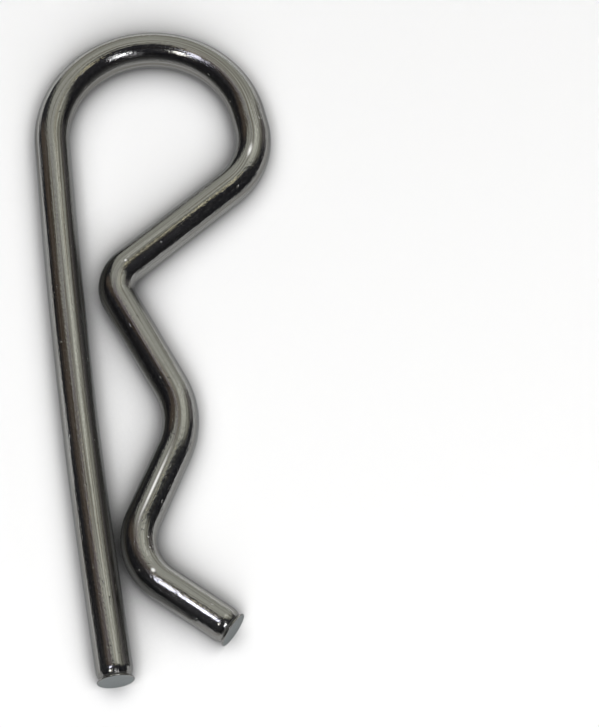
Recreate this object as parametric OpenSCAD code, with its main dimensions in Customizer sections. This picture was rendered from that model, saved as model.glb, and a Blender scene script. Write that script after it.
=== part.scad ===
// R shaped hitch clip, bent from one length of round spring wire.
// The clip lies flat on its side: the straight leg runs along +Y up to the loop,
// and the grip leg comes back down beside it on the +X side.

/* [Wire] */
// Diameter of the spring wire
wire_d = 4; // [2.5:0.1:5.5]
// Radius tumbled onto the rim of both cut ends
end_round = 0.75; // [0.2:0.05:1]

/* [Straight leg] */
// Dead straight stretch at the tip, the part that finds the cross hole first
tip_len = 10; // [6:0.5:12]
// Length of the leg along the wire, from its tip to the start of the loop
leg_len = 62.2; // [58:0.2:76]
// Slight bow in the middle of the leg, towards the grip leg, in degrees
leg_bow = 3.2; // [0.5:0.1:5]
// Straight stretch of the leg beside the loop
root_len = 8; // [4:0.5:14]

/* [Loop] */
// Centreline radius of the loop
loop_r = 10.9; // [9:0.1:13]
// Angle that the loop turns through before it runs into the shoulder
loop_turn = 171.8; // [165:0.2:178]
// Straight stretch between the loop and the shoulder
shoulder_run = 1.6; // [0.5:0.1:4]
// Centreline radius of the tighter shoulder bend that ends the loop
shoulder_r = 7.5; // [6:0.1:9]

/* [Grip leg] */
// Slope of the strut from the shoulder to the throat, in degrees off the straight leg
strut_slope = 58.3; // [50:0.1:66]
// Gap between the legs at the throat, square to the straight tip
throat_gap = 2.2; // [1.5:0.1:4]
// Centreline radius of the throat bend
throat_r = 3.3; // [3:0.1:5]
// Slope of the wire that leads from the throat out to the seat
lead_slope = 19.8; // [14:0.1:26]
// Radius of the shaft that the seat closes on, from the axis of the straight tip
seat_r = 8.8; // [7.5:0.1:11]
// Centreline radius of the seat bend
seat_bend_r = 8.7; // [6:0.1:12]
// Slope of the wire that leads from the seat back to the neck
hook_slope = 31.2; // [24:0.1:40]
// Gap between the legs at the neck, where the grip leg all but touches the straight leg
neck_gap = 0.45; // [0.2:0.05:1.5]
// Centreline radius of the neck bend
neck_r = 6.1; // [4:0.1:8]
// Slope of the flared end that guides the clip over the shaft
flare_slope = 46.1; // [35:0.1:55]
// Straight length of the flared end
flare_len = 8.8; // [6:0.1:12]

/* [Hidden] */

wire_r = wire_d / 2;
rim_r = min(end_round, 0.45 * wire_d);
wire_sides = 40;
arc_step = 1.5;
down = 180;

// Bending draws the wire a hair thinner. Each straight runs on a little way over the
// bends beside it, so that the whole length joins into one solid.
bend_draw = 0.03;
bend_wire_r = wire_r - bend_draw;
lap = 0.1;

// A heading is counted in degrees clockwise from +Y. A turn to the right is positive.
function ahead(heading) = [sin(heading), cos(heading)];
function beside(heading) = [cos(heading), -sin(heading)];
function bend_centre(start, heading, r, turn) = start + sign(turn) * r * beside(heading);
function bend_end(start, heading, r, turn) =
    bend_centre(start, heading, r, turn) - sign(turn) * r * beside(heading + turn);
// Goes on from a point until the bend that follows would have its centre at the given x
function run_to_bend(start, heading, r, turn, centre_x) =
    start + ahead(heading) * (centre_x - bend_centre(start, heading, r, turn).x) / ahead(heading).x;

// Headings of the straight stretches, and the turns between them
loop_exit = leg_bow + loop_turn;
strut_dir = down + strut_slope;
lead_dir = down - lead_slope;
hook_dir = down + hook_slope;
flare_dir = down - flare_slope;
shoulder_turn = strut_dir - loop_exit;
throat_turn = lead_dir - strut_dir;
seat_turn = hook_dir - lead_dir;
neck_turn = flare_dir - hook_dir;

// Where the centres of the grip leg's bends stand off the axis of the straight tip
throat_x = wire_d + throat_gap + throat_r;
seat_x = seat_r + wire_r - seat_bend_r;
neck_x = wire_d + neck_gap + neck_r;

// Ends of each stretch of the centreline, from the tip round to the flared end
bow_r = (leg_len - tip_len - root_len) / (leg_bow * PI / 180);
tip_end = [0, tip_len];
bow_end = bend_end(tip_end, 0, bow_r, leg_bow);
leg_end = bow_end + root_len * ahead(leg_bow);
loop_end = bend_end(leg_end, leg_bow, loop_r, loop_turn);
shoulder_start = loop_end + shoulder_run * ahead(loop_exit);
shoulder_end = bend_end(shoulder_start, loop_exit, shoulder_r, shoulder_turn);
throat_start = run_to_bend(shoulder_end, strut_dir, throat_r, throat_turn, throat_x);
throat_end = bend_end(throat_start, strut_dir, throat_r, throat_turn);
seat_start = run_to_bend(throat_end, lead_dir, seat_bend_r, seat_turn, seat_x);
seat_end = bend_end(seat_start, lead_dir, seat_bend_r, seat_turn);
neck_start = run_to_bend(seat_end, hook_dir, neck_r, neck_turn, neck_x);
neck_end = bend_end(neck_start, hook_dir, neck_r, neck_turn);
flare_end = neck_end + flare_len * ahead(flare_dir);

// Outline of the clip seen from above, to set the origin under its middle
loop_top = bend_centre(leg_end, leg_bow, loop_r, loop_turn).y + loop_r + bend_wire_r;
foot = min(0, flare_end.y - wire_r * abs(beside(flare_dir).y));
shoulder_x = bend_centre(shoulder_start, loop_exit, shoulder_r, shoulder_turn).x;
grip_side = shoulder_x + shoulder_r + bend_wire_r;
middle = [(grip_side - wire_r) / 2, (loop_top + foot) / 2];

// Sets its child at a point of the centreline, with the child's +Y along the heading
module along(start, heading) {
    translate([start.x - middle.x, start.y - middle.y, wire_r])
        rotate([0, 0, -heading])
            children();
}

// A straight stretch of wire, which laps over the bends at both its ends
module straight(start, heading, length) {
    along(start - lap * ahead(heading), heading)
        rotate([-90, 0, 0])
            cylinder(h = length + 2 * lap, d = wire_d, $fn = wire_sides);
}

// A bend of the wire, which starts where the last stretch ends
module bend(start, heading, r, turn) {
    centre = bend_centre(start, heading, r, turn);
    first = turn > 0 ? down - turn : 0;
    along(centre, heading)
        rotate([0, 0, first])
            rotate_extrude(angle = abs(turn), $fn = ceil(2 * PI * r / arc_step))
                translate([r, 0])
                    circle(r = bend_wire_r, $fn = wire_sides);
}

// A straight stretch that ends in a flat cut face with a tumbled rim.
// It is drawn from the cut face back along the wire, and laps over the bend there.
module cut_end(face, heading, length) {
    along(face, heading)
        rotate([-90, 0, 0])
            rotate_extrude($fn = wire_sides)
                union() {
                    square([wire_r - rim_r, length + lap]);
                    translate([0, rim_r])
                        square([wire_r, length - rim_r + lap]);
                    translate([wire_r - rim_r, rim_r])
                        circle(r = rim_r, $fn = wire_sides);
                }
}

module clip_wire() {
    color([0.70, 0.70, 0.67])
        union() {
            cut_end([0, 0], 0, tip_len);
            bend(tip_end, 0, bow_r, leg_bow);
            straight(bow_end, leg_bow, root_len);
            bend(leg_end, leg_bow, loop_r, loop_turn);
            straight(loop_end, loop_exit, shoulder_run);
            bend(shoulder_start, loop_exit, shoulder_r, shoulder_turn);
            straight(shoulder_end, strut_dir, norm(throat_start - shoulder_end));
            bend(throat_start, strut_dir, throat_r, throat_turn);
            straight(throat_end, lead_dir, norm(seat_start - throat_end));
            bend(seat_start, lead_dir, seat_bend_r, seat_turn);
            straight(seat_end, hook_dir, norm(neck_start - seat_end));
            bend(neck_start, hook_dir, neck_r, neck_turn);
            cut_end(flare_end, flare_dir + down, flare_len);
        }
}

clip_wire();
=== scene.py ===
import math
import bpy
import numpy as np
from mathutils import Matrix, Vector


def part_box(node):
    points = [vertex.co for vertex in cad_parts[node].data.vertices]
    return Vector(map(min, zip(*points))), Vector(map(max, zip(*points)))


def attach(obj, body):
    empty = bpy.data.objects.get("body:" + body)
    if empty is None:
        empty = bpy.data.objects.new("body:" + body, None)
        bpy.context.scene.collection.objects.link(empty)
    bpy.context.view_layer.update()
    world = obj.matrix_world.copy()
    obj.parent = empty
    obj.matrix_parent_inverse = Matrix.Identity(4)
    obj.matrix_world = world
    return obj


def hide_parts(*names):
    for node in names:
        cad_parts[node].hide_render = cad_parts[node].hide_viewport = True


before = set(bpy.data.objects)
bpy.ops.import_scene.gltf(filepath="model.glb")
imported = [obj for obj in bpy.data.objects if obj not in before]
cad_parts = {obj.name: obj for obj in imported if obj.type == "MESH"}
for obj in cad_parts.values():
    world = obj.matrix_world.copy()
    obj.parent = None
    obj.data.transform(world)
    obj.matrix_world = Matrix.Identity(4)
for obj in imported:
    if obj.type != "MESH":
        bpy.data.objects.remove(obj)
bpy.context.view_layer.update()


# Camera
# The photograph was taken from a third of a metre away, looking down at 66 degrees.
# The clip lies in the left half of its frame, turned a little to the left.
MM = 0.001
WIRE_D = 4 * MM
PHOTO_HEIGHT = 727
SENSOR = 36.0
LOOK_DOWN = math.radians(66)
LOOK_FROM = 340 * MM
FOCAL_IN_PIXELS = 3172.7
NEAR_LIMIT = 10 * MM
CLIP_TURN = math.radians(9.33)
# Where the leg's tip lies on the table, to the right of the point that the camera looks at and beyond it
TIP_ASIDE = -18.70 * MM
TIP_BEYOND = -36.40 * MM

clip_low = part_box("clip_wire")[0]
leg_tip = Vector((clip_low.x + WIRE_D / 2, clip_low.y, 0))


def on_table(aside, beyond):
    """A point of the table, given from the point that the camera looks at, in the clip's own frame."""
    step = Vector((aside - TIP_ASIDE, beyond - TIP_BEYOND, 0))
    return leg_tip + Matrix.Rotation(-CLIP_TURN, 3, "Z") @ step


aim = on_table(0, 0)
behind = Matrix.Rotation(-CLIP_TURN, 3, "Z") @ Vector((0, -1, 0))
camera = bpy.data.objects.new("camera", bpy.data.cameras.new("camera"))
bpy.context.scene.collection.objects.link(camera)
camera.location = aim + LOOK_FROM * (math.cos(LOOK_DOWN) * behind + math.sin(LOOK_DOWN) * Vector((0, 0, 1)))
camera.rotation_euler = (math.pi / 2 - LOOK_DOWN, 0, -CLIP_TURN)
camera.data.sensor_width = SENSOR
camera.data.lens = FOCAL_IN_PIXELS * SENSOR / PHOTO_HEIGHT
camera.data.clip_start = NEAR_LIMIT
bpy.context.scene.camera = camera


# Clip wire
# One length of round spring steel wire, 168 mm long, cut, tumbled, bent cold and then bright plated.
# It is made as it is bent: a ring is drawn out along each straight and spun round the centre of each
# bend. The cut has drawn both ends in a little and left a lip there.
BEND_DRAW = 0.03 * MM
WIRE_R = WIRE_D / 2 - BEND_DRAW
AXIS_HEIGHT = WIRE_D / 2
SIDES = 72
STRAIGHT_STEP = 0.8 * MM
BEND_STEP = math.radians(1.5)

# The cut ends: an arc that rolls in, and the lip
ROLL_R = 2.2 * MM
ROLL_TURN = math.radians(32)
ROLL_STEPS = 12
LIP = 0.24 * MM
LIP_ROUND = 0.10 * MM
LIP_RISE = 0.03 * MM
LIP_STEPS = 6

# The straight leg and the loop
TIP_LEN = 10.0 * MM
LEG_LEN = 62.2 * MM
LEG_BOW = math.radians(3.2)
ROOT_LEN = 8.0 * MM
LOOP_R = 10.9 * MM
LOOP_TURN = math.radians(171.8)
SHOULDER_RUN = 1.6 * MM
SHOULDER_R = 7.5 * MM

# The grip leg
STRUT_SLOPE = math.radians(58.3)
THROAT_GAP = 2.2 * MM
THROAT_R = 3.3 * MM
LEAD_SLOPE = math.radians(19.8)
SEAT_R = 8.8 * MM
SEAT_BEND_R = 8.7 * MM
HOOK_SLOPE = math.radians(31.2)
NECK_GAP = 0.45 * MM
NECK_R = 6.1 * MM
FLARE_SLOPE = math.radians(46.1)
FLARE_LEN = 8.8 * MM

# How the mesh is joined and smoothed
ON_RING = 0.01 * MM
SAME_POINT = 0.001 * MM
SHARP_FROM = math.radians(40)
BATCH = 2000


def ahead(heading):
    """The way the wire runs, for a heading counted clockwise from +Y."""
    return Vector((math.sin(heading), math.cos(heading), 0))


def beside(heading):
    """Square to the way the wire runs, to its right."""
    return Vector((math.cos(heading), -math.sin(heading), 0))


class Bender:
    """Feeds the wire out of its first ring and bends it, and notes the centreline as it goes."""

    def __init__(self, start, heading):
        self.place = start
        self.heading = heading
        self.fed = 0.0
        self.line = [(0.0, start.copy(), heading)]

    def note(self, place, heading, fed):
        self.line.append((fed, place.copy(), heading))

    def straight(self, length):
        steps = math.ceil(length / STRAIGHT_STEP)
        for step in range(steps):
            move = ahead(self.heading) * (length / steps)
            bpy.ops.mesh.extrude_region_move(TRANSFORM_OT_translate={"value": move})
            self.place = self.place + move
            self.fed += length / steps
            self.note(self.place, self.heading, self.fed)

    def centre(self, radius, turn):
        return self.place + math.copysign(radius, turn) * beside(self.heading)

    def bend(self, radius, turn):
        steps = max(math.ceil(abs(turn) / BEND_STEP), math.ceil(radius * abs(turn) / STRAIGHT_STEP))
        centre = self.centre(radius, turn)
        bpy.ops.mesh.spin(steps=steps, angle=turn, center=centre, axis=(0, 0, 1), use_auto_merge=False)
        for step in range(1, steps + 1):
            heading = self.heading + turn * step / steps
            place = centre - math.copysign(radius, turn) * beside(heading)
            self.note(place, heading, self.fed + radius * abs(turn) * step / steps)
        self.fed += radius * abs(turn)
        self.heading += turn
        self.place = self.line[-1][1].copy()

    def straight_to_bend(self, radius, turn, centre_x):
        """Goes on until the bend that follows has its centre at that x, then bends."""
        length = (centre_x - self.centre(radius, turn).x) / ahead(self.heading).x
        self.straight(length)
        self.bend(radius, turn)


# How far each ring of an end lies from the last full one, and the wire's radius there
end_rings = []
for step in range(1, ROLL_STEPS + 1):
    roll = ROLL_TURN * step / ROLL_STEPS
    end_rings.append((ROLL_R * math.sin(roll), WIRE_R - ROLL_R * (1 - math.cos(roll))))
roll_len = ROLL_R * math.sin(ROLL_TURN)
end_rings.append((roll_len + LIP_RISE, WIRE_R - LIP_ROUND))
lip_middle = roll_len + LIP - LIP_ROUND
for step in range(LIP_STEPS + 1):
    roll = math.pi * step / LIP_STEPS
    end_rings.append((lip_middle - LIP_ROUND * math.cos(roll), WIRE_R - LIP_ROUND * (1 - math.sin(roll))))
end_len = roll_len + LIP


def finish_end(place, heading):
    """Goes on from the chosen ring to the cut face, ring by ring, and closes it."""
    reached = 0.0
    radius = WIRE_R
    for length, ring_r in end_rings:
        move = ahead(heading) * (length - reached)
        place = place + move
        bpy.ops.mesh.extrude_region_move(TRANSFORM_OT_translate={"value": move})
        bpy.ops.transform.resize(value=[ring_r / radius] * 3, center_override=place)
        reached = length
        radius = ring_r
    bpy.ops.mesh.edge_face_add()


bpy.ops.object.select_all(action="DESELECT")
wire_axis = leg_tip + Vector((0, 0, AXIS_HEIGHT))
first_ring = wire_axis + end_len * ahead(0)
bpy.ops.mesh.primitive_circle_add(
    vertices=SIDES, radius=WIRE_R, fill_type="NOTHING", location=first_ring, rotation=(math.pi / 2, 0, 0)
)
wire = bpy.context.object
wire.name = "bent_wire"
bpy.ops.object.transform_apply(location=True, rotation=True, scale=True)
bpy.ops.object.mode_set(mode="EDIT")
bpy.ops.mesh.select_mode(type="VERT")
bpy.ops.mesh.select_all(action="SELECT")

down = math.pi
leg_x = wire_axis.x
bow_r = (LEG_LEN - TIP_LEN - ROOT_LEN) / LEG_BOW
bender = Bender(first_ring, 0.0)
bender.straight(TIP_LEN - end_len)
bender.bend(bow_r, LEG_BOW)
bender.straight(ROOT_LEN)
bender.bend(LOOP_R, LOOP_TURN)
bender.straight(SHOULDER_RUN)
bender.bend(SHOULDER_R, down + STRUT_SLOPE - LEG_BOW - LOOP_TURN)
bender.straight_to_bend(THROAT_R, -LEAD_SLOPE - STRUT_SLOPE, leg_x + WIRE_D + THROAT_GAP + THROAT_R)
bender.straight_to_bend(SEAT_BEND_R, HOOK_SLOPE + LEAD_SLOPE, leg_x + SEAT_R + WIRE_D / 2 - SEAT_BEND_R)
bender.straight_to_bend(NECK_R, -FLARE_SLOPE - HOOK_SLOPE, leg_x + WIRE_D + NECK_GAP + NECK_R)
bender.straight(FLARE_LEN - end_len)
finish_end(bender.place, bender.heading)

# The other end starts again from the first ring
bpy.ops.mesh.select_all(action="DESELECT")
bpy.ops.object.mode_set(mode="OBJECT")
for point in wire.data.vertices:
    in_ring = (point.co - first_ring).length < WIRE_R + ON_RING
    point.select = in_ring and abs(point.co.y - first_ring.y) < ON_RING
bpy.ops.object.mode_set(mode="EDIT")
finish_end(first_ring, down)
bpy.ops.mesh.select_all(action="SELECT")
bpy.ops.mesh.remove_doubles(threshold=SAME_POINT)
bpy.ops.mesh.normals_make_consistent(inside=False)
bpy.ops.object.mode_set(mode="OBJECT")
bpy.ops.object.shade_smooth_by_angle(angle=SHARP_FROM)
for face in wire.data.polygons:
    if len(face.vertices) == SIDES:
        face.use_smooth = False


def lay_straight(mesh, line, name):
    """Gives each point its place on the wire before it was bent: across it, along it and up."""
    fed = np.array([stop[0] for stop in line])
    places = np.array([stop[1][:2] for stop in line])
    ways = np.array([ahead(stop[2])[:2] for stop in line])
    sides = np.array([beside(stop[2])[:2] for stop in line])
    points = np.empty(len(mesh.vertices) * 3, np.float64)
    mesh.vertices.foreach_get("co", points)
    points = points.reshape(-1, 3)
    straight = np.empty_like(points)
    for first in range(0, len(points), BATCH):
        part = points[first : first + BATCH]
        gaps = part[:, None, :2] - places[None]
        nearest = (gaps**2).sum(2).argmin(1)
        gap = gaps[np.arange(len(part)), nearest]
        straight[first : first + BATCH, 0] = (gap * sides[nearest]).sum(1)
        straight[first : first + BATCH, 1] = fed[nearest] + (gap * ways[nearest]).sum(1)
        straight[first : first + BATCH, 2] = part[:, 2] - AXIS_HEIGHT
    layer = mesh.attributes.new(name, "FLOAT_VECTOR", "POINT")
    layer.data.foreach_set("vector", straight.astype(np.float32).ravel())


def wrap_round(mesh, place, name):
    """A UV map with U round the wire and V along it, for the way that the drawing marks run."""
    spots = np.empty(len(mesh.vertices) * 3, np.float32)
    mesh.attributes[place].data.foreach_get("vector", spots)
    spots = spots.reshape(-1, 3)
    turns = np.arctan2(spots[:, 0], spots[:, 2]) / (2 * math.pi)
    corners = np.empty(len(mesh.loops), np.int32)
    mesh.loops.foreach_get("vertex_index", corners)
    around = turns[corners]
    # A face over the seam gets its corners on one side of it
    for face in mesh.polygons:
        run = slice(face.loop_start, face.loop_start + face.loop_total)
        if around[run].max() - around[run].min() > 0.5:
            around[run] = np.where(around[run] < 0, around[run] + 1, around[run])
    uv = np.stack([around, spots[corners, 1] / (2 * math.pi * WIRE_R)], 1)
    layer = mesh.uv_layers.new(name=name)
    layer.data.foreach_set("uv", uv.astype(np.float32).ravel())


lay_straight(wire.data, bender.line, "unbent")
cut = wire.data.attributes.new("cut_face", "FLOAT", "FACE")
cut.data.foreach_set("value", [float(len(face.vertices) == SIDES) for face in wire.data.polygons])
wrap_round(wire.data, "unbent", "round_wire")

# Bright plating over drawn spring steel: a mirror with lines and streaks from the drawing die along
# the wire and a few pits. Close to the table and the next bend it scatters a little light, and its colour
# is darkened there with painted shade.
LINE_GREY = (0.34, 0.32, 0.28)
PLATING_GREY = (0.59, 0.59, 0.57)
PLATING_EDGE = (0.50, 0.51, 0.53)
# The near-white painted on the former's marks as highlights
PAINTED_HIGHLIGHT_WHITE = (0.90, 0.90, 0.88)
CUT_GREY = (0.20, 0.215, 0.215)
CUT_ROUGHNESS = 0.55
SPREAD_ROUND = 0.4
SHUT_IN_REACH = 30 * MM
AO_SAMPLES = 16

plated = bpy.data.materials.new("plated_wire")
plated.use_nodes = True
# The functions that follow add to the material or world whose nodes and links were taken last
nodes = plated.node_tree.nodes
links = plated.node_tree.links
steel = nodes["Principled BSDF"]
steel.inputs["Metallic"].default_value = 1.0
steel.inputs["Specular Tint"].default_value = (*PLATING_EDGE, 1)
steel.inputs["Anisotropic"].default_value = SPREAD_ROUND
round_wire = nodes.new("ShaderNodeTangent")
round_wire.direction_type = "UV_MAP"
round_wire.uv_map = "round_wire"
links.new(round_wire.outputs["Tangent"], steel.inputs["Tangent"])
unbent = nodes.new("ShaderNodeAttribute")
unbent.attribute_name = "unbent"


def marks(across, along, detail):
    """Noise on the unbent wire, with so many marks a metre across it and along it."""
    stretch = nodes.new("ShaderNodeMapping")
    stretch.inputs["Scale"].default_value = (across, along, across)
    noise = nodes.new("ShaderNodeTexNoise")
    noise.inputs["Scale"].default_value = 1.0
    noise.inputs["Detail"].default_value = detail
    links.new(unbent.outputs["Vector"], stretch.inputs["Vector"])
    links.new(stretch.outputs["Vector"], noise.inputs["Vector"])
    return noise.outputs["Fac"]


def ramp(value, low_in, high_in, low_out, high_out):
    """A value spread between two limits."""
    spread = nodes.new("ShaderNodeMapRange")
    spread.inputs["From Min"].default_value = low_in
    spread.inputs["From Max"].default_value = high_in
    spread.inputs["To Min"].default_value = low_out
    spread.inputs["To Max"].default_value = high_out
    links.new(value, spread.inputs["Value"])
    return spread.outputs["Result"]


def either(first, second):
    """The stronger of two masks."""
    most = nodes.new("ShaderNodeMath")
    most.operation = "MAXIMUM"
    links.new(first, most.inputs[0])
    links.new(second, most.inputs[1])
    return most.outputs[0]


def painted(mask, under, colour):
    """A colour laid over another where a mask says."""
    over = nodes.new("ShaderNodeMix")
    over.data_type = "RGBA"
    over.inputs["B"].default_value = (*colour, 1)
    links.new(mask, over.inputs["Factor"])
    links.new(under, over.inputs["A"])
    return over.outputs["Result"]


def pressed(height, depth, onto=None):
    """A bump of that depth, laid over the bump before it."""
    bump = nodes.new("ShaderNodeBump")
    bump.inputs["Strength"].default_value = 1.0
    bump.inputs["Distance"].default_value = depth
    links.new(height, bump.inputs["Height"])
    if onto is not None:
        links.new(onto, bump.inputs["Normal"])
    return bump.outputs["Normal"]


def highlight_spot(along, turn, width, length):
    """A mark of the bending tools, where a highlight is painted: its place along the wire in millimetres
    and round it in degrees, and its half sizes in millimetres."""
    turn = math.radians(turn)
    place = (WIRE_R * math.sin(turn), along * MM, WIRE_R * math.cos(turn))
    off = nodes.new("ShaderNodeVectorMath")
    off.operation = "SUBTRACT"
    off.inputs[1].default_value = place
    links.new(unbent.outputs["Vector"], off.inputs[0])
    shrunk = nodes.new("ShaderNodeVectorMath")
    shrunk.operation = "MULTIPLY"
    shrunk.inputs[1].default_value = (1 / (width * MM), 1 / (length * MM), 1 / (width * MM))
    links.new(off.outputs["Vector"], shrunk.inputs[0])
    reach = nodes.new("ShaderNodeVectorMath")
    reach.operation = "LENGTH"
    links.new(shrunk.outputs["Vector"], reach.inputs[0])
    mark = ramp(reach.outputs["Value"], 0.0, 1.0, 1.0, 0.0)
    mark.node.interpolation_type = "SMOOTHSTEP"
    return mark


drawing_lines = marks(across=5500, along=60, detail=5)
streaks = marks(across=1800, along=60, detail=3)
grain = marks(across=6000, along=2500, detail=2)
pits = ramp(marks(across=2400, along=1500, detail=0), 0.13, 0.20, 1.0, 0.0)
specks = marks(across=7000, along=3500, detail=1)
patches = marks(across=700, along=120, detail=3)

# The former has marked the wire, with a slight bump, in a line along the hook and in a spot on the
# shoulder, the neck and the throat. These marks are painted near-white and matte as highlights.
hook_line = highlight_spot(along=146.4, turn=3, width=0.24, length=6.5)
shoulder_spot = highlight_spot(along=98.9, turn=2, width=0.32, length=1.3)
neck_spot = highlight_spot(along=156.5, turn=0, width=0.34, length=0.45)
throat_spot = highlight_spot(along=118.0, turn=-1, width=0.20, length=0.26)
painted_highlights = either(either(hook_line, shoulder_spot), either(neck_spot, throat_spot))
cut_face = nodes.new("ShaderNodeAttribute")
cut_face.attribute_name = "cut_face"

# How open the place lies: 1 in the open, and less where the table or the next bend is close
shut_in = nodes.new("ShaderNodeAmbientOcclusion")
shut_in.samples = AO_SAMPLES
shut_in.inputs["Distance"].default_value = SHUT_IN_REACH
openness = shut_in.outputs["AO"]

tone = nodes.new("ShaderNodeMix")
tone.data_type = "RGBA"
tone.inputs["A"].default_value = (*LINE_GREY, 1)
tone.inputs["B"].default_value = (*PLATING_GREY, 1)
links.new(ramp(drawing_lines, 0.30, 0.55, 0.0, 1.0), tone.inputs["Factor"])
# Painted shade: the plating colour is multiplied darker where the table or the next bend is close
painted_shade = nodes.new("ShaderNodeMix")
painted_shade.data_type = "RGBA"
painted_shade.blend_type = "MULTIPLY"
painted_shade.inputs["Factor"].default_value = 1.0
links.new(tone.outputs["Result"], painted_shade.inputs["A"])
links.new(ramp(openness, 0.86, 0.945, 0.36, 1.0), painted_shade.inputs["B"])
# Painted highlights: the former's marks are painted near-white over the plating
colour = painted(painted_highlights, painted_shade.outputs["Result"], PAINTED_HIGHLIGHT_WHITE)
colour = painted(cut_face.outputs["Fac"], colour, CUT_GREY)
links.new(colour, steel.inputs["Base Color"])

roughness = nodes.new("ShaderNodeMix")
roughness.inputs["B"].default_value = CUT_ROUGHNESS
links.new(cut_face.outputs["Fac"], roughness.inputs["Factor"])
links.new(ramp(patches, 0.30, 0.65, 0.17, 0.08), roughness.inputs["A"])
links.new(roughness.outputs["Result"], steel.inputs["Roughness"])

# The painted highlights are also made matte, so that they show bright
scattering = either(ramp(specks, 0.34, 0.50, 0.035, 0.0), ramp(painted_highlights, 0.0, 1.0, 0.0, 0.9))
scattering = either(scattering, ramp(openness, 0.66, 0.80, 0.36, 0.0))
links.new(ramp(scattering, 0.0, 1.0, 1.0, 0.0), steel.inputs["Metallic"])

normal = pressed(drawing_lines, 0.012 * MM)
normal = pressed(streaks, 0.035 * MM, normal)
normal = pressed(grain, 0.016 * MM, normal)
normal = pressed(pits, -0.03 * MM, normal)
normal = pressed(painted_highlights, 0.01 * MM, normal)
links.new(normal, steel.inputs["Normal"])
wire.data.materials.append(plated)

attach(wire, "root")
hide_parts("clip_wire")


# Floor
# A plain white table top, which turns grey further away from the clip. Close to the wire its colour is
# darkened softly with a painted shadow, where the wire shuts out the light.
FLOOR_SIZE = 4.0
FLOOR_WHITE = (0.92, 0.92, 0.92)
FLOOR_GREY = (0.50, 0.50, 0.50)
PAINTED_FLOOR_SHADOW = (0.10, 0.10, 0.10)
WHITE_WITHIN = 60 * MM
GREY_BEYOND = 220 * MM
PAINTED_SHADOW_REACH = 7.0 * MM
bpy.ops.object.select_all(action="DESELECT")
bpy.ops.mesh.primitive_plane_add(size=FLOOR_SIZE, location=(0, 0, clip_low.z))
floor = bpy.context.object
floor.name = "floor"
table = bpy.data.materials.new("white_table")
table.use_nodes = True
nodes = table.node_tree.nodes
links = table.node_tree.links
table_top = nodes["Principled BSDF"]
table_top.inputs["Roughness"].default_value = 0.8
table_top.inputs["Specular IOR Level"].default_value = 0.0
spot = nodes.new("ShaderNodeTexCoord")
from_clip = nodes.new("ShaderNodeVectorMath")
from_clip.operation = "LENGTH"
links.new(spot.outputs["Object"], from_clip.inputs[0])
sheet = nodes.new("ShaderNodeMix")
sheet.data_type = "RGBA"
sheet.inputs["A"].default_value = (*FLOOR_WHITE, 1)
sheet.inputs["B"].default_value = (*FLOOR_GREY, 1)
links.new(ramp(from_clip.outputs["Value"], WHITE_WITHIN, GREY_BEYOND, 0.0, 1.0), sheet.inputs["Factor"])
shut_out = nodes.new("ShaderNodeAmbientOcclusion")
shut_out.samples = AO_SAMPLES
shut_out.inputs["Distance"].default_value = PAINTED_SHADOW_REACH
# Painted shadow: the table colour turns dark grey close to the wire
white = nodes.new("ShaderNodeMix")
white.data_type = "RGBA"
white.inputs["A"].default_value = (*PAINTED_FLOOR_SHADOW, 1)
links.new(sheet.outputs["Result"], white.inputs["B"])
links.new(ramp(shut_out.outputs["AO"], 0.20, 0.84, 0.0, 1.0), white.inputs["Factor"])
links.new(white.outputs["Result"], table_top.inputs["Base Color"])
floor.data.materials.append(table)


# Room and lamps
# The wire mirrors a dim room: a pale grey wall beyond the table, dark walls behind the camera, and
# lamps over the camera's shoulders. A wide soft panel, which the wire doesn't mirror, lights the table.
ROOM_DARK = (0.020, 0.020, 0.024)
LEAST_DEPTH = 0.001
PANEL_SIZE = 1.0
PANEL_POWER = 16.9
PANEL_FROM = 1.05
world = bpy.data.worlds.new("room")
bpy.context.scene.world = world
world.use_nodes = True
nodes = world.node_tree.nodes
links = world.node_tree.links
room_light = nodes["Background"]
look = nodes.new("ShaderNodeTexCoord")


def way(azimuth, elevation):
    """A direction in the room. Azimuth 0 is straight beyond the table, and 90 is to the camera's right."""
    turn = math.radians(azimuth) + CLIP_TURN
    tilt = math.radians(elevation)
    return Vector((math.sin(turn) * math.cos(tilt), math.cos(turn) * math.cos(tilt), math.sin(tilt)))


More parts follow.
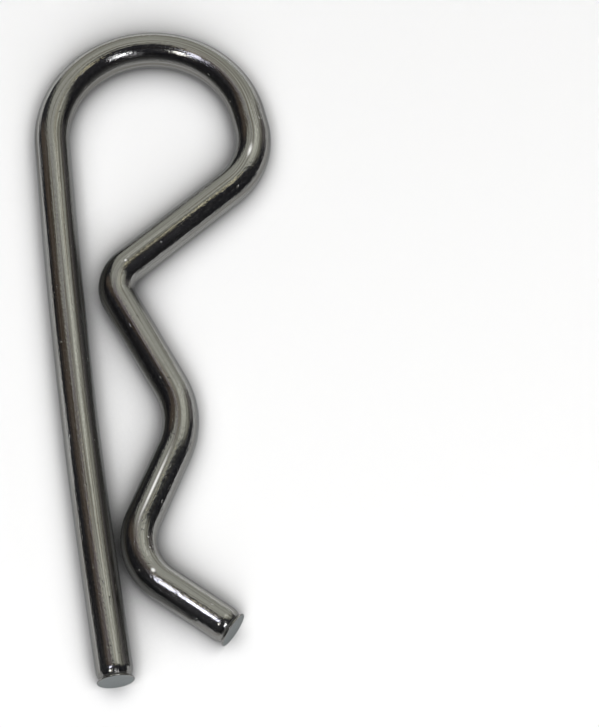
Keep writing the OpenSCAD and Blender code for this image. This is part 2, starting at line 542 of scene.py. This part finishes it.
def card_group():
    """Masks what lies on a flat card with soft edges, seen from the middle of the room."""
    group = bpy.data.node_groups.new("card", "ShaderNodeTree")
    for socket in ("Look", "Toward", "Across", "Up"):
        group.interface.new_socket(socket, in_out="INPUT", socket_type="NodeSocketVector")
    for socket in ("Half Width", "Half Height", "Edge"):
        group.interface.new_socket(socket, in_out="INPUT", socket_type="NodeSocketFloat")
    group.interface.new_socket("Mask", in_out="OUTPUT", socket_type="NodeSocketFloat")
    given = group.nodes.new("NodeGroupInput")
    result = group.nodes.new("NodeGroupOutput")

    def maths(operation, first, second=None):
        node = group.nodes.new("ShaderNodeMath")
        node.operation = operation
        for slot, value in enumerate((first, second)):
            if isinstance(value, float):
                node.inputs[slot].default_value = value
            elif value is not None:
                group.links.new(value, node.inputs[slot])
        return node.outputs[0]

    def dot(socket):
        node = group.nodes.new("ShaderNodeVectorMath")
        node.operation = "DOT_PRODUCT"
        group.links.new(given.outputs["Look"], node.inputs[0])
        group.links.new(given.outputs[socket], node.inputs[1])
        return node.outputs["Value"]

    depth = maths("MAXIMUM", dot("Toward"), LEAST_DEPTH)
    inside = None
    for socket, half in (("Across", "Half Width"), ("Up", "Half Height")):
        off = maths("ABSOLUTE", maths("DIVIDE", dot(socket), depth))
        room_left = maths("DIVIDE", maths("SUBTRACT", given.outputs[half], off), given.outputs["Edge"])
        room_left.node.use_clamp = True
        inside = room_left if inside is None else maths("MULTIPLY", inside, room_left)
    smooth = group.nodes.new("ShaderNodeMapRange")
    smooth.interpolation_type = "SMOOTHSTEP"
    group.links.new(inside, smooth.inputs["Value"])
    group.links.new(smooth.outputs["Result"], result.inputs["Mask"])
    return group


card = card_group()


def hang(room, azimuth, elevation, half_width, half_height, edge, colour):
    """Hangs a card in the room, over what hangs there. Its sizes are half angles, in degrees."""
    place = nodes.new("ShaderNodeGroup")
    place.node_tree = card
    toward = way(azimuth, elevation)
    across = toward.cross(Vector((0, 0, 1))).normalized()
    place.inputs["Toward"].default_value = toward
    place.inputs["Across"].default_value = across
    place.inputs["Up"].default_value = across.cross(toward)
    place.inputs["Half Width"].default_value = math.tan(math.radians(half_width))
    place.inputs["Half Height"].default_value = math.tan(math.radians(half_height))
    place.inputs["Edge"].default_value = math.tan(math.radians(edge))
    links.new(look.outputs["Generated"], place.inputs["Look"])
    return painted(place.outputs["Mask"], room, colour)


dark = nodes.new("ShaderNodeRGB")
dark.outputs[0].default_value = (*ROOM_DARK, 1)
room = dark.outputs[0]
# The pale wall beyond the table, the wall on the right, and what little is seen on the left
room = hang(room, 8, 26, 43, 48, 6, (0.38, 0.38, 0.345))
room = hang(room, 60, 42, 18, 16, 12, (0.32, 0.32, 0.28))
room = hang(room, 57, 12, 14, 20, 8, (0.13, 0.12, 0.12))
room = hang(room, -62, 48, 12, 34, 10, (0.09, 0.07, 0.055))
room = hang(room, -36, 66, 12, 8, 6, (0.19, 0.17, 0.19))
# The paler top of the wall, with three small lights in it
room = hang(room, 2, 56, 11, 4, 4, (0.50, 0.50, 0.45))
room = hang(room, 40, 57, 13, 12, 8, (0.62, 0.62, 0.55))
room = hang(room, 34, 53, 3, 3, 3, (1.5, 1.5, 1.4))
room = hang(room, 39, 38, 4, 6, 4, (0.75, 0.75, 0.70))
room = hang(room, -15, 55, 2.5, 2.5, 2, (0.95, 0.95, 0.90))
# Narrow warm lights on the ceiling
room = hang(room, -24, 68.5, 5, 1.8, 2, (1.0, 0.93, 0.70))
room = hang(room, 47, 73, 5, 3.5, 3, (1.5, 1.4, 1.0))
room = hang(room, -60, 76, 8, 1.8, 2, (1.3, 1.2, 0.95))
# Two lamps over the left shoulder, the first with its glow
room = hang(room, -106, 69, 4.5, 4.5, 4, (7.5, 7.6, 9.2))
room = hang(room, -92, 73.5, 5, 3, 3, (3.0, 3.0, 3.7))
room = hang(room, -140, 59, 4, 6, 3, (10.0, 9.8, 9.4))
# The lamp over the right shoulder, with its glow above and below
room = hang(room, 146, 57, 6, 7, 4, (8.0, 8.0, 8.4))
room = hang(room, 133, 68, 4, 4, 3, (2.5, 2.5, 2.6))
room = hang(room, 162, 41, 7, 6, 5, (1.3, 1.3, 1.4))
links.new(room, room_light.inputs["Color"])

panel = bpy.data.lights.new("table_panel", "AREA")
panel.size = PANEL_SIZE
panel.energy = PANEL_POWER
hung_panel = bpy.data.objects.new("table_panel", panel)
bpy.context.scene.collection.objects.link(hung_panel)
hung_panel.location = PANEL_FROM * way(170, 43)
hung_panel.rotation_euler = hung_panel.location.to_track_quat("Z", "Y").to_euler()
hung_panel.visible_glossy = False

bpy.context.scene.view_settings.view_transform = "Standard"
